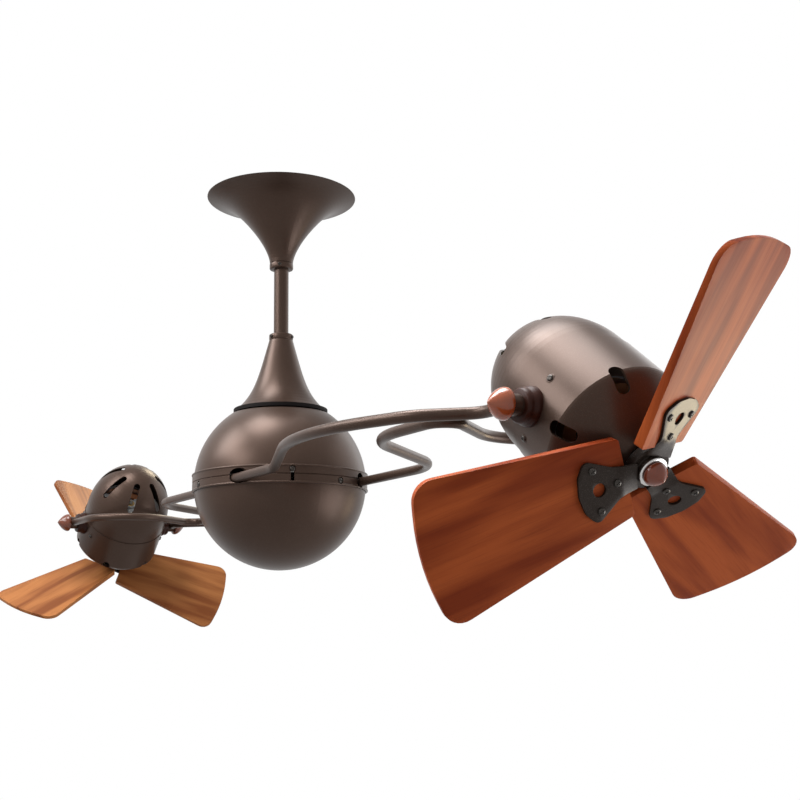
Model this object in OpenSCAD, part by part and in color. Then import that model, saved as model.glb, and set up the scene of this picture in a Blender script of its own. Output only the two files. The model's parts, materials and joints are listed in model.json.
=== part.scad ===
// Twin head ceiling fan. A trumpet canopy and a drop rod carry a fixed spindle. A sphere turns on the
// spindle and holds four bent arms, two to each side. Each pair of arms carries a motor head that tilts
// between two pivots, and each head drives a three blade fan.
// Z is up, the origin is on the ceiling above the spindle, and +X runs along the arms to the right head.

/* [Ceiling bracket] */
// Length of the bracket strap
strap_l = 120; // [104:1:140]
// Width of the bracket strap
strap_w = 38; // [32:1:42]
// Thickness of the bracket's steel
strap_t = 3; // [2:0.5:4]
// Distance between the two ceiling screws
screw_spacing = 88.9; // [69.85, 88.9]
// Diameter of the ceiling screw holes
screw_hole_d = 5.2; // [4.5:0.1:6]
// Diameter of the hanger ball
ball_d = 44; // [38:1:48]
// Depth of the ball's centre below the ceiling
ball_drop = 30; // [27:0.5:33]
// Thickness of the seat ring under the ball
seat_wall = 6; // [4:0.5:7]

/* [Canopy] */
// Diameter of the canopy at the ceiling
canopy_d = 195; // [180:1:220]
// Height of the canopy
canopy_h = 89.5; // [80:0.5:110]
// Diameter of the canopy's neck
canopy_neck_d = 30; // [29:0.2:33]
// Thickness of the canopy's wall
canopy_wall = 1.4; // [1:0.1:2]

/* [Drop rod] */
// Depth of the sphere's centre below the ceiling
drop = 380.5; // [360:0.5:700]
// Outside diameter of the drop rod
rod_d = 19; // [16:0.5:21]
// Wall of the drop rod
rod_wall = 2; // [1.5:0.25:3]
// Diameter of the two collars on the drop rod
collar_d = 30.8; // [30:0.2:36]
// Height of a collar
collar_h = 8.2; // [7:0.2:13]
// Diameter of the cross pins
pin_d = 5; // [4:0.5:6]
// Diameter of the collar screws
collar_screw_d = 4; // [3:0.5:5]

/* [Lower cover] */
// Height of the lower cover
cover_h = 91.5; // [80:0.5:105]
// Diameter of the lower cover at its top
cover_top_d = 30.6; // [29:0.2:36]
// Diameter of the lower cover at its foot
cover_foot_d = 112; // [100:1:116]
// Thickness of the lower cover's wall
cover_wall = 1.4; // [1:0.1:2]
// Diameter of the black ring above the sphere
ring_d = 120; // [118:1:126]
// Thickness of the black ring
ring_t = 4.6; // [3:0.2:5.6]

/* [Sphere] */
// Outside diameter of the sphere
sphere_d = 217; // [210:1:230]
// Wall of the two half shells
shell_wall = 1.6; // [1.2:0.1:2.5]
// Thickness of the belt
belt_t = 1.8; // [1.4:0.1:3]
// Height of the belt
belt_h = 22.4; // [20:0.2:26]
// How far the belt's lips stand proud
belt_lip = 0.8; // [0.4:0.1:1.2]
// Width of the notch below each upper screw of the belt
notch_w = 4.4; // [3:0.2:6]
// Height of the notch
notch_h = 12.6; // [9:0.2:14]
// Width of the holes for the arms
arm_hole_d = 14; // [13:0.2:14.6]
// How far the holes for the arms reach up beyond that
arm_hole_rise = 4.5; // [2:0.5:5]
// Diameter of the belt screws' heads
belt_screw_d = 6; // [5:0.5:7]
// Gap round the head of a belt screw
screw_gap = 1.3; // [0.6:0.1:1.8]

/* [Spindle and hub] */
// Diameter of the spindle
spindle_d = 16; // [14:0.5:17]
// Bore of the spindle, for the wires
spindle_bore = 8; // [6:0.5:9]
// Length of the spindle below the sphere's centre
spindle_below = 62; // [58:1:66]
// Diameter of the coupling over the spindle's top
coupling_d = 30; // [28:0.5:34]
// Outside diameter of the hub's bushes
hub_bush_d = 28; // [24:0.5:30]
// Length of a hub bush
hub_bush_l = 10; // [8:0.5:12]
// Outside diameter of the hub's tube
hub_d = 40; // [36:1:44]
// Depth of the hub's foot below the sphere's centre
hub_foot = 49.5; // [44:0.5:52]
// Diameter of the slip ring drum
drum_d = 32; // [28:1:36]
// Height of the slip ring drum
drum_h = 30; // [24:1:34]
// Running clearance of shafts and pivots in their bores, on the radius
run_gap = 0.05; // [0.02:0.01:0.08]

/* [Arms] */
// Outside diameter of the arm tubes
arm_d = 11; // [9.5:0.5:12]
// Bore of the arm tubes, for the wires
arm_bore = 7.5; // [6:0.5:8]
// Offset of the near arms from the centre plane inside the sphere
near_offset = 88; // [86:0.5:90]
// Offset of the far arms from the centre plane inside the sphere
far_offset = 66; // [62:0.5:67]
// How far the arms lie below the sphere's centre
arm_sag = 3.5; // [0:0.5:4]
// Distance from the spindle to a head's pivots
head_reach = 592; // [560:1:640]
// Distance from a head's centre plane to the arm at its side
arm_side = 84; // [83:0.5:90]
// Diameter of the eyes on the arms' ends
eye_d = 19; // [15:0.5:22]
// Length of the eyes on the arms' ends
eye_l = 11.6; // [11.6:0.1:13]
// Diameter of the pivot studs
stud_d = 6; // [5:0.5:7]

/* [Motor head] */
// Diameter of the front cup
cup_d = 132.8; // [128:0.2:136]
// Distance from the pivots forward to the cup's shoulder
cup_shoulder = 38.9; // [34:0.1:44]
// Distance from the pivots forward to the cup's nose
cup_nose = 75.3; // [70:0.1:77]
// Diameter of the cup's nose
nose_d = 30.4; // [28:0.2:34]
// Thickness of the cup's wall
cup_wall = 2.5; // [2:0.1:3]
// Distance from the pivots back to the seam
seam_back = 15.4; // [12:0.1:18]
// Diameter of the rear dome
dome_d = 131; // [127:0.5:132]
// Length of the dome's straight part
dome_straight = 17.1; // [12:0.1:22]
// Length of the dome's round part
dome_round = 81.8; // [70:0.1:90]
// Thickness of the dome's wall
dome_wall = 1.8; // [1.4:0.1:2.5]
// Number of slots in the dome
slots = 7; // [5:1:8]
// Width of a slot
slot_w = 10; // [6:0.5:12]
// Length of a slot
slot_l = 48; // [34:1:52]
// Number of vents in the cup
vents = 6; // [4:1:8]
// Width of a vent
vent_w = 12; // [8:0.5:14]
// Length of a vent
vent_l = 25; // [18:0.5:27]
// Diameter of a pivot spacer at the head
spacer_d = 33; // [30:0.5:36]
// Diameter of a pivot knob
knob_d = 28; // [24:0.5:30]
// Length of a pivot knob
knob_l = 19.5; // [16:0.5:24]

/* [Motor] */
// Outside diameter of the stator
stator_d = 100; // [92:1:106]
// Length of the stator
stator_l = 40; // [34:1:44]
// Diameter of the rotor
rotor_d = 53.4; // [48:0.2:56]
// Gap between the rotor and the stator
air_gap = 0.4; // [0.3:0.05:0.6]
// Diameter of the motor shaft
shaft_d = 8; // [7:0.5:10]
// Outside diameter of a shaft bush
bush_d = 16; // [14:0.5:18]
// Length of a shaft bush
bush_l = 12; // [9:0.5:13]

/* [Fan] */
// Distance from the pivots to the middle of the blades' roots
fan_front = 85.3; // [84:0.1:92]
// Radius at which a blade starts
blade_root_r = 21.8; // [20:0.1:26]
// Radius of the blade's tip corners before rounding
blade_tip_r = 194.5; // [160:0.5:230]
// How far the tip's peak stands beyond its corners
tip_crown = 12; // [6:0.5:16]
// Width of a blade at its root
blade_root_w = 67; // [60:0.2:76]
// Width of a blade at its tip
blade_tip_w = 126; // [110:1:140]
// Thickness of a blade at its root
blade_root_t = 8.5; // [7:0.5:11]
// Thickness of a blade at its tip
blade_tip_t = 4.5; // [4:0.5:7]
// Rounding of the tip's corners
tip_corner = 17; // [10:1:22]
// Pitch of the blades
pitch = 20; // [10:0.1:22]
// Diameter of the blade hub
hub_flange_d = 38; // [34:0.5:41]
// Thickness of a blade iron
iron_t = 2.5; // [2:0.5:3]
// Length of a blade iron from the shaft to its tip
iron_reach = 67; // [62:0.5:72]
// Width of a blade iron
iron_w = 55; // [48:0.5:60]
// Width of a blade iron's neck
iron_neck_w = 25; // [20:0.5:26]
// Diameter of the window in a blade iron
iron_window_d = 11.5; // [9:0.5:13]
// Diameter of the heads of the blade screws
blade_screw_d = 6.4; // [5:0.2:7]
// Diameter of the hub's boss, which carries the finial
boss_d = 26; // [24:0.5:28]
// Diameter of the finial
finial_d = 21.6; // [18:0.2:23]
// Length of the finial
finial_l = 15; // [12:0.5:18]

/* [Photographed pose] */
// Tilt of the right head below the horizontal
tilt_right = 39.6; // [0:0.1:80]
// Tilt of the left head below the horizontal
tilt_left = 44.2; // [0:0.1:80]
// Turn of the right fan
turn_right = 178.9; // [0:0.1:360]
// Turn of the left fan
turn_left = 296.8; // [0:0.1:360]
// Turn of the right dome's slots
dome_turn_right = 50; // [0:1:90]
// Turn of the left dome's slots
dome_turn_left = 20; // [0:1:90]

/* [Hidden] */

$fn = 48;
bronze = [0.28, 0.23, 0.21];
dark_bronze = [0.13, 0.10, 0.09];
black = [0.05, 0.05, 0.05];
steel = [0.62, 0.62, 0.64];
brass = [0.75, 0.58, 0.28];
copper = [0.72, 0.38, 0.22];
wood = [0.50, 0.22, 0.12];
amber = [0.55, 0.20, 0.10];
cream = [0.85, 0.82, 0.74];

eps = 0.01;          // overlap that joins two shapes of one solid
cut = 1;             // how far a cutting shape runs past what it cuts
profile_steps = 20;  // points along a curved profile
round_steps = 6;     // points along a rounded corner

ball_r = ball_d / 2;
canopy_r = canopy_d / 2;
canopy_neck_r = canopy_neck_d / 2;
rod_r = rod_d / 2;
collar_r = collar_d / 2;
pin_r = pin_d / 2;
sphere_r = sphere_d / 2;
shell_in_r = sphere_r - shell_wall;
belt_r = sphere_r + belt_t;
arm_r = arm_d / 2;
eye_r = eye_d / 2;
stud_r = stud_d / 2;
cup_r = cup_d / 2;
cup_in_r = cup_r - cup_wall;
dome_r = dome_d / 2;
nose_r = nose_d / 2;
shaft_r = shaft_d / 2;
bush_r = bush_d / 2;
spindle_r = spindle_d / 2;
hub_r = hub_d / 2;

// Heights below the ceiling of the pieces on the drop rod.
sphere_gap = 2.4;                                        // open gap under the black ring
ring_foot = sqrt(pow(sphere_r, 2) - pow(ring_d / 2, 2)) + 0.4;
ring_top = ring_foot + ring_t;
cover_top = ring_top + cover_h;
rod_top = ball_drop - ball_r + 6;
rod_foot = drop - ring_top - 35;
coupling_foot = ring_top + 13;
coupling_top = drop - rod_foot + 20;
shell_open = ring_foot - sphere_gap;

// A rounded outline: corners are [x, y, rounding], and the result runs round them in order.
function unit(v) = v / norm(v);
function corner_arc(a, b, c) =
    let (u = unit([a[0] - b[0], a[1] - b[1]]),
         w = unit([c[0] - b[0], c[1] - b[1]]),
         half = acos(max(-1, min(1, u * w))) / 2,
         centre = [b[0], b[1]] + unit(u + w) * b[2] / sin(half),
         first = [b[0], b[1]] + u * b[2] / tan(half) - centre,
         last = [b[0], b[1]] + w * b[2] / tan(half) - centre)
    [for (i = [0 : round_steps])
        centre + b[2] * unit(first * sin((1 - i / round_steps) * (180 - 2 * half))
            + last * sin(i / round_steps * (180 - 2 * half)))];
function rounded(corners) =
    let (n = len(corners))
    [for (i = [0 : n - 1])
        each corner_arc(corners[(i + n - 1) % n], corners[i], corners[(i + 1) % n])];

// A slot's outline, with round ends.
module stadium(length, width) {
    square([length - width, width], center = true);
    for (side = [-1, 1])
        translate([side * (length - width) / 2, 0])
            circle(d = width);
}

// A round bar along a route in plan, with a bend at each inner corner. The bends are a hair thicker
// than the straights, which run a short way into them.
lap = 0.4;
swell = 0.02;
function heading(a, b) = atan2(b[1] - a[1], b[0] - a[0]);
function bend(route, i) =
    let (turn = heading(route[i], route[i + 1]) - heading(route[i - 1], route[i]))
    turn > 180 ? turn - 360 : turn < -180 ? turn + 360 : turn;
function trim(route, i) =
    i == 0 || i == len(route) - 1 ? 0 : route[i][2] * tan(abs(bend(route, i)) / 2) - lap;
function along(a, b, s) =
    [a[0] + s * cos(heading(a, b)), a[1] + s * sin(heading(a, b))];
module bar_run(route, r) {
    for (i = [0 : len(route) - 2])
        translate(along(route[i], route[i + 1], trim(route, i)))
            rotate([0, 90, heading(route[i], route[i + 1])])
                cylinder(h = norm([route[i + 1][0] - route[i][0], route[i + 1][1] - route[i][1]])
                    - trim(route, i) - trim(route, i + 1), r = r);
    for (i = [1 : len(route) - 2])
        let (turn = bend(route, i),
             side = turn > 0 ? 1 : -1,
             a = heading(route[i - 1], route[i]),
             start = along(route[i], route[i - 1], trim(route, i) + lap),
             centre = start + route[i][2] * side * [-sin(a), cos(a)])
        translate(centre)
            rotate([0, 0, turn > 0 ? a - 90 : a + 90 + turn])
                rotate_extrude(angle = abs(turn))
                    translate([route[i][2], 0])
                        circle(r = r + swell);
}

// Routes of the two arms of the right head: corners in plan with the radius of each bend.
// A bend lies a given way outside the sphere, or back from the pivots, and out from a straight end.
arm_start = 4;
near_first_out = 52.5;
near_bow_back = 213;
near_bow_out = 92;
near_bow_r = 230;
near_elbow_back = 82;
near_elbow_out = 45;
near_last_back = 43;
near_route = [[arm_start, -near_offset],
    [sphere_r + near_first_out, -near_offset, 60],
    [head_reach - near_bow_back, -near_offset - near_bow_out, near_bow_r],
    [head_reach - near_elbow_back, -arm_side - near_elbow_out, 68],
    [head_reach - near_last_back, -arm_side, 28],
    [head_reach, -arm_side]];
far_first_out = 147.5;
far_bow_back = 207;
far_bow_out = 12;
far_elbow_back = 73;
far_return_back = 212;
far_route = [[arm_start, far_offset],
    [sphere_r + far_first_out, far_offset, 96],
    [head_reach - far_bow_back, -arm_side - far_bow_out, 105],
    [head_reach - far_elbow_back, -arm_side - far_bow_out, 18],
    [head_reach - far_return_back, arm_side, 67],
    [head_reach, arm_side]];
arm_offsets = [-near_offset, far_offset];

module at_sphere() {
    translate([0, 0, -drop])
        children();
}
module at_arms() {
    translate([0, 0, -drop - arm_sag])
        children();
}
module both_sides() {
    children();
    rotate([0, 0, 180])
        children();
}
// Puts a piece drawn in a head's own frame (pivots on Y, fan towards +Z) at its place.
module on_right_head() {
    at_arms()
        translate([head_reach, 0, 0])
            rotate([0, 90 + tilt_right, 0])
                children();
}
module on_left_head() {
    at_arms()
        rotate([0, 0, 180])
            translate([head_reach, 0, 0])
                rotate([0, 90 + tilt_left, 0])
                    children();
}
module on_right_fan() {
    on_right_head()
        rotate([0, 0, turn_right])
            children();
}
module on_left_fan() {
    on_left_head()
        rotate([0, 0, turn_left])
            children();
}

// ---- Fixed pieces ----

bracket_leg_w = 24;
leg_x = ball_r + 5;
module ceiling_bracket() {
    color(steel)
        difference() {
            union() {
                translate([-strap_l / 2, -strap_w / 2, -strap_t])
                    cube([strap_l, strap_w, strap_t]);
                for (side = [-1, 1])
                    translate([side * (leg_x + strap_t / 2) - strap_t / 2, -bracket_leg_w / 2, -ball_drop - 12])
                        cube([strap_t, bracket_leg_w, ball_drop + 12]);
                translate([0, 0, -ball_drop - 14])
                    cylinder(h = 10, r = leg_x + strap_t);
            }
            translate([0, 0, -ball_drop])
                sphere(r = ball_r);
            translate([0, 0, -ball_drop - 14 - cut])
                cylinder(h = 10 + 2 * cut, r = ball_r - seat_wall / 2);
            translate([0, 0, -strap_t - cut])
                cylinder(h = strap_t + 2 * cut, r = 10);
            for (side = [-1, 1])
                translate([side * screw_spacing / 2, 0, -strap_t - cut])
                    cylinder(h = strap_t + 2 * cut, d = screw_hole_d);
        }
}

module cross_pin(z, length) {
    translate([-length / 2, 0, z])
        rotate([0, 90, 0])
            cylinder(h = length, r = pin_r);
}
ball_pin_l = ball_d - 6;
coupling_pin_l = coupling_d - 1;
module pin_set() {
    cross_pin(-ball_drop, ball_pin_l);
    cross_pin(-rod_foot + 12, coupling_pin_l);
    cross_pin(-rod_foot - 12, coupling_pin_l);
}
module cross_pins() {
    color(steel)
        pin_set();
}

module hanger_ball() {
    color(black)
        difference() {
            translate([0, 0, -ball_drop])
                intersection() {
                    sphere(r = ball_r);
                    translate([0, 0, -ball_r + 10])
                        cylinder(h = 2 * ball_r - 20, r = ball_r + cut);
                }
            translate([0, 0, -ball_drop - ball_r])
                cylinder(h = 2 * ball_r, r = rod_r);
            cross_pin(-ball_drop, ball_pin_l);
        }
}

// The canopy's flare: slender over most of its height, with a wide lip at the ceiling.
function canopy_flare(t) = 0.78 * pow(t, 1.55) + 0.22 * pow(t, 14);
function canopy_radius(t) = canopy_neck_r + (canopy_r - canopy_neck_r) * canopy_flare(t);
canopy_profile = [for (i = [0 : profile_steps + 8])
    let (s = i / (profile_steps + 8), t = 1 - pow(1 - s, 1.5))
    [canopy_radius(t), -canopy_h * (1 - t)]];
canopy_inside = [for (p = canopy_profile)
    let (t = 1 + p[1] / canopy_h,
         slope = (canopy_radius(t + 0.001) - canopy_radius(max(t - 0.001, 0))) / (0.002 * canopy_h))
    [p[0] - canopy_wall * sqrt(1 + slope * slope), p[1]]];
module canopy() {
    color(bronze)
        rotate_extrude($fn = 96)
            polygon(concat(canopy_profile, [for (i = [len(canopy_inside) - 1 : -1 : 0]) canopy_inside[i]]));
}

upper_collar_z = -canopy_h - collar_h;
lower_collar_z = -drop + cover_top;
module collar(z) {
    translate([0, 0, z])
        difference() {
            cylinder(h = collar_h, r = collar_r);
            translate([0, 0, -cut])
                cylinder(h = collar_h + 2 * cut, r = rod_r);
        }
}
// Three screws round a collar, from a given radius to a given height above the collar's face.
module collar_screw_set(z, first, from, proud) {
    for (i = [0 : 2])
        rotate([0, 0, first + i * 120])
            translate([from, 0, z + collar_h / 2])
                rotate([0, 90, 0])
                    cylinder(h = collar_r - from + proud, d = collar_screw_d);
}
upper_screws_at = -35;
lower_screws_at = -79;
screw_sunk = -0.8;
screw_proud = 1.8;
module rod_collars() {
    color(bronze)
        difference() {
            union() {
                collar(upper_collar_z);
                collar(lower_collar_z);
            }
            collar_screw_set(upper_collar_z, upper_screws_at, rod_r - 2 * cut, cut);
            collar_screw_set(lower_collar_z, lower_screws_at, rod_r - 2 * cut, cut);
        }
}
module collar_screws() {
    color(dark_bronze) {
        collar_screw_set(upper_collar_z, upper_screws_at, rod_r + 0.1, screw_sunk);
        collar_screw_set(lower_collar_z, lower_screws_at, rod_r + 0.1, screw_proud);
    }
}

module drop_rod() {
    color(bronze)
        difference() {
            translate([0, 0, -rod_foot])
                cylinder(h = rod_foot - rod_top, r = rod_r);
            translate([0, 0, -rod_foot - cut])
                cylinder(h = rod_foot - rod_top + 2 * cut, r = rod_r - rod_wall);
            pin_set();
        }
}

module coupling() {
    color(steel)
        difference() {
            translate([0, 0, -drop + coupling_foot])
                cylinder(h = coupling_top - coupling_foot, d = coupling_d);
            translate([0, 0, -rod_foot])
                cylinder(h = coupling_top, r = rod_r);
            translate([0, 0, -drop])
                cylinder(h = coupling_top, r = spindle_r);
            pin_set();
        }
}

// The lower cover: a straight cone that flares out over its last part.
function cover_flare(t) = 0.62 * t + 0.38 * pow(t, 5);
function cover_radius(t) = cover_top_d / 2 + (cover_foot_d - cover_top_d) / 2 * cover_flare(t);
cover_profile = [for (i = [0 : profile_steps])
    let (t = i / profile_steps)
    [cover_radius(t), cover_top - cover_h * t]];
cover_inside = [for (p = cover_profile)
    let (t = (cover_top - p[1]) / cover_h,
         slope = (cover_radius(t + 0.001) - cover_radius(max(t - 0.001, 0))) / (0.002 * cover_h))
    [p[0] - cover_wall * sqrt(1 + slope * slope), p[1]]];
module lower_cover() {
    color(bronze)
        at_sphere()
            rotate_extrude($fn = 96)
                polygon(concat(cover_profile, [for (i = [len(cover_inside) - 1 : -1 : 0]) cover_inside[i]]));
}

module shadow_ring() {
    color(black)
        at_sphere()
            difference() {
                union() {
                    translate([0, 0, ring_foot])
                        cylinder(h = ring_t, d = ring_d, $fn = 96);
                    translate([0, 0, ring_foot])
                        cylinder(h = coupling_foot - ring_foot, d = coupling_d);
                }
                translate([0, 0, ring_foot - cut])
                    cylinder(h = coupling_foot, r = spindle_r);
            }
}

nut_h = 12;
module spindle() {
    color(steel)
        difference() {
            translate([0, 0, -drop - spindle_below])
                cylinder(h = spindle_below + drop - rod_foot, r = spindle_r);
            translate([0, 0, -drop - spindle_below - cut])
                cylinder(h = spindle_below + drop - rod_foot + 2 * cut, d = spindle_bore);
            pin_set();
        }
}
module spindle_nut() {
    color(steel)
        at_sphere()
            difference() {
                union() {
                    translate([0, 0, -spindle_below])
                        cylinder(h = nut_h - 3, r = spindle_r + 7, $fn = 6);
                    translate([0, 0, -spindle_below + nut_h - 3])
                        cylinder(h = spindle_below - hub_foot - nut_h + 3 - 0.2, d = hub_d);
                }
                translate([0, 0, -spindle_below - cut])
                    cylinder(h = nut_h + 2 * cut, r = spindle_r);
            }
}

hub_top = 10;
flange_t = 4;
drum_z = hub_top + 6;
drum_groove = 1;
module slip_ring_drum() {
    color(cream)
        at_sphere()
            difference() {
                translate([0, 0, drum_z])
                    cylinder(h = drum_h, d = drum_d);
                translate([0, 0, drum_z - cut])
                    cylinder(h = drum_h + 2 * cut, r = spindle_r);
                for (i = [0 : 2])
                    translate([0, 0, drum_z + drum_h * (i + 0.5) / 3 - drum_h / 9])
                        difference() {
                            cylinder(h = drum_h * 2 / 9, d = drum_d + cut);
                            translate([0, 0, -cut])
                                cylinder(h = drum_h, d = drum_d - 2 * drum_groove);
                        }
            }
}

// ---- Carousel pieces, which turn about the spindle ----

cradle_l = 34;
cradle_w = arm_d + 9;
clamp_top = arm_r + 3;
beam_w = 36;
beam_t = 10;
beam_top = -arm_sag - arm_r - 3;
clamp_screw_x = arm_start + cradle_l / 2;
screw_beside = arm_r + 2.2;
beam_past = 4;       // how far the beam runs past the outer cradles
belt_screw_shank = belt_screw_d / 2;
pad_w = 16;
// Each belt screw's place round the sphere, and the half of the belt that it holds: 1 upper, -1 lower.
belt_screw_places = [[14.6, -1], [89, -1], [-19, 1]];

// Holes along the arms' straight ends, of a given diameter.
module arm_holes(diameter) {
    at_arms()
        both_sides()
            for (y = arm_offsets)
                translate([0, y, 0])
                    rotate([0, 90, 0])
                        cylinder(h = belt_r + cut, d = diameter);
}
module arm_slots() {
    at_arms()
        both_sides()
            for (y = arm_offsets)
                translate([0, y, arm_hole_rise / 2])
                    rotate([0, 90, 0])
                        linear_extrude(belt_r + cut)
                            stadium(arm_hole_d + arm_hole_rise, arm_hole_d);
}
module clamp_screw_set() {
    at_arms()
        both_sides()
            for (y = arm_offsets, edge = [-1, 1])
                translate([clamp_screw_x, y + edge * screw_beside, 0]) {
                    translate([0, 0, -arm_r - 2])
                        cylinder(h = arm_r + 2 + clamp_top, d = 2.5);
                    translate([0, 0, clamp_top])
                        cylinder(h = 2.5, d = 4);
                }
}
module at_belt_screws() {
    at_sphere()
        both_sides()
            for (place = belt_screw_places)
                rotate([0, 0, place[0]])
                    translate([0, 0, place[1] * belt_h / 4])
                        rotate([0, 90, 0])
                            children();
}
screw_sink = 0.6;     // how far a belt screw's head sits in the shell
screw_hold = 8;       // how far its shank reaches behind the shell
screw_seat = sphere_r - screw_sink;
module belt_screw_set() {
    at_belt_screws() {
        translate([0, 0, shell_in_r - screw_hold])
            cylinder(h = sphere_r - shell_in_r + screw_hold, d = belt_screw_shank);
        translate([0, 0, screw_seat])
            cylinder(h = belt_r - screw_seat, d = belt_screw_d);
    }
}
// The pads that the belt screws draw the shells against.
module screw_pads() {
    intersection() {
        sphere(r = shell_in_r);
        both_sides() {
            for (place = [belt_screw_places[0], belt_screw_places[2]])
                rotate([0, 0, place[0]])
                    translate([0, -pad_w / 4, place[1] * belt_h / 4 - pad_w / 4])
                        cube([sphere_r, pad_w / 2, pad_w / 2]);
            translate([-pad_w / 2, near_offset + cradle_w / 2, beam_top - 2])
                cube([pad_w, sphere_r, 4 - beam_top]);
        }
    }
}
module carousel_hub() {
    color(steel)
        difference() {
            at_sphere()
                union() {
                    translate([0, 0, -hub_foot])
                        cylinder(h = hub_foot + hub_top, r = hub_r);
                    translate([0, 0, hub_top - flange_t])
                        cylinder(h = flange_t, r = hub_r + 16);
                    translate([-beam_w / 2, -near_offset - cradle_w / 2 - beam_past, beam_top - beam_t])
                        cube([beam_w, 2 * (near_offset + beam_past) + cradle_w, beam_t]);
                    both_sides()
                        for (y = arm_offsets)
                            translate([arm_start, y - cradle_w / 2, beam_top - 1])
                                cube([cradle_l, cradle_w, -beam_top + 1 - arm_sag]);
                    screw_pads();
                }
            at_sphere()
                translate([0, 0, -hub_foot - cut])
                    cylinder(h = hub_foot + hub_top + 2 * cut, d = hub_bush_d);
            arm_holes(arm_d);
            clamp_screw_set();
            belt_screw_set();
        }
}
module hub_bushes() {
    color(brass)
        at_sphere()
            for (z = [-hub_foot, hub_top - hub_bush_l])
                translate([0, 0, z])
                    difference() {
                        cylinder(h = hub_bush_l, d = hub_bush_d);
                        translate([0, 0, -cut])
                            cylinder(h = hub_bush_l + 2 * cut, r = spindle_r + run_gap);
                    }
}
module arm_clamps() {
    color(steel)
        difference() {
            at_arms()
                both_sides()
                    for (y = arm_offsets)
                        translate([arm_start, y - cradle_w / 2, 0])
                            cube([cradle_l, cradle_w, clamp_top]);
            arm_holes(arm_d);
            clamp_screw_set();
        }
}
module clamp_screws() {
    color(steel)
        clamp_screw_set();
}

module arm(route) {
    at_arms()
        both_sides()
            difference() {
                bar_run(route, arm_r);
                bar_run(concat([[0, route[0][1]]], [for (i = [1 : len(route) - 1]) route[i]]),
                    arm_bore / 2);
                translate([head_reach, sign(route[len(route) - 1][1]) * arm_side, 0])
                    rotate([90, 0, 0])
                        cylinder(h = 3 * arm_d, d = eye_d, center = true);
            }
}
module near_arms() {
    color(bronze)
        arm(near_route);
}
module far_arms() {
    color(bronze)
        arm(far_route);
}
module arm_eyes() {
    color(bronze)
        at_arms()
            for (x = [-1, 1], y = [-1, 1])
                translate([x * head_reach, y * arm_side, 0])
                    rotate([90, 0, 0])
                        difference() {
                            cylinder(h = eye_l, d = eye_d, center = true);
                            cylinder(h = eye_l + 2 * cut, r = stud_r + run_gap, center = true);
                        }
}

// A half shell from the sphere's middle up to a given height.
module half_shell(top) {
    rotate_extrude($fn = 120)
        difference() {
            intersection() {
                circle(r = sphere_r, $fn = 120);
                square([sphere_r + cut, top]);
            }
            circle(r = shell_in_r, $fn = 120);
        }
}
module top_shell() {
    color(bronze)
        difference() {
            at_sphere()
                half_shell(shell_open);
            arm_slots();
            belt_screw_set();
            belt_notches();
        }
}
module bottom_shell() {
    color(bronze)
        difference() {
            at_sphere()
                mirror([0, 0, 1])
                    half_shell(sphere_r + cut);
            arm_slots();
            belt_screw_set();
            belt_notches();
        }
}
// Half the belt's section: a chamfer at the seam, and a round bead along the free edge.
seam_chamfer = 0.8;
bead_r = 1.3;
bead_from = -acos((bead_r - belt_lip) / bead_r);
module half_belt() {
    rotate_extrude($fn = 120)
        polygon(concat([[sphere_r, 0], [belt_r - seam_chamfer, 0], [belt_r, seam_chamfer]],
            [for (i = [0 : round_steps])
                let (a = bead_from + (90 - bead_from) * i / round_steps)
                [belt_r + belt_lip - bead_r + bead_r * cos(a), belt_h / 2 - bead_r + bead_r * sin(a)]],
            [[sphere_r, belt_h / 2]]));
}
notch_top = belt_h / 4 - 2;
module belt_notches() {
    at_sphere()
        both_sides()
            rotate([0, 0, belt_screw_places[2][0]])
                translate([shell_in_r - 4, -notch_w / 2, notch_top - notch_h])
                    cube([sphere_r, notch_w, notch_h]);
}
module belt_cuts() {
    arm_slots();
    belt_notches();
    at_belt_screws()
        translate([0, 0, sphere_r - 2 * cut])
            cylinder(h = belt_r, d = belt_screw_d + 2 * screw_gap);
}
module belt_upper() {
    color(bronze)
        difference() {
            at_sphere()
                half_belt();
            belt_cuts();
        }
}
module belt_lower() {
    color(bronze)
        difference() {
            at_sphere()
                mirror([0, 0, 1])
                    half_belt();
            belt_cuts();
        }
}
cross_w = 1;         // width of the cross in a screw's head
cross_deep = 0.8;
module belt_screws() {
    color(dark_bronze)
        difference() {
            belt_screw_set();
            at_belt_screws()
                for (a = [20, 110])
                    rotate([0, 0, a])
                        translate([-belt_screw_d * 0.35, -cross_w / 2, belt_r - cross_deep])
                            cube([belt_screw_d * 0.7, cross_w, 2 * cross_deep]);
        }
}
brush_gap = 0.4;
module brush_block() {
    color(black)
        at_sphere()
            difference() {
                translate([0, -8, hub_top])
                    cube([hub_r + 14, 16, drum_z - hub_top + drum_h]);
                translate([0, 0, hub_top - cut])
                    cylinder(h = drum_z + drum_h, r = drum_d / 2 + brush_gap);
            }
}

// ---- Motor head pieces, drawn with the pivots on Y and the fan towards +Z ----

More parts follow.
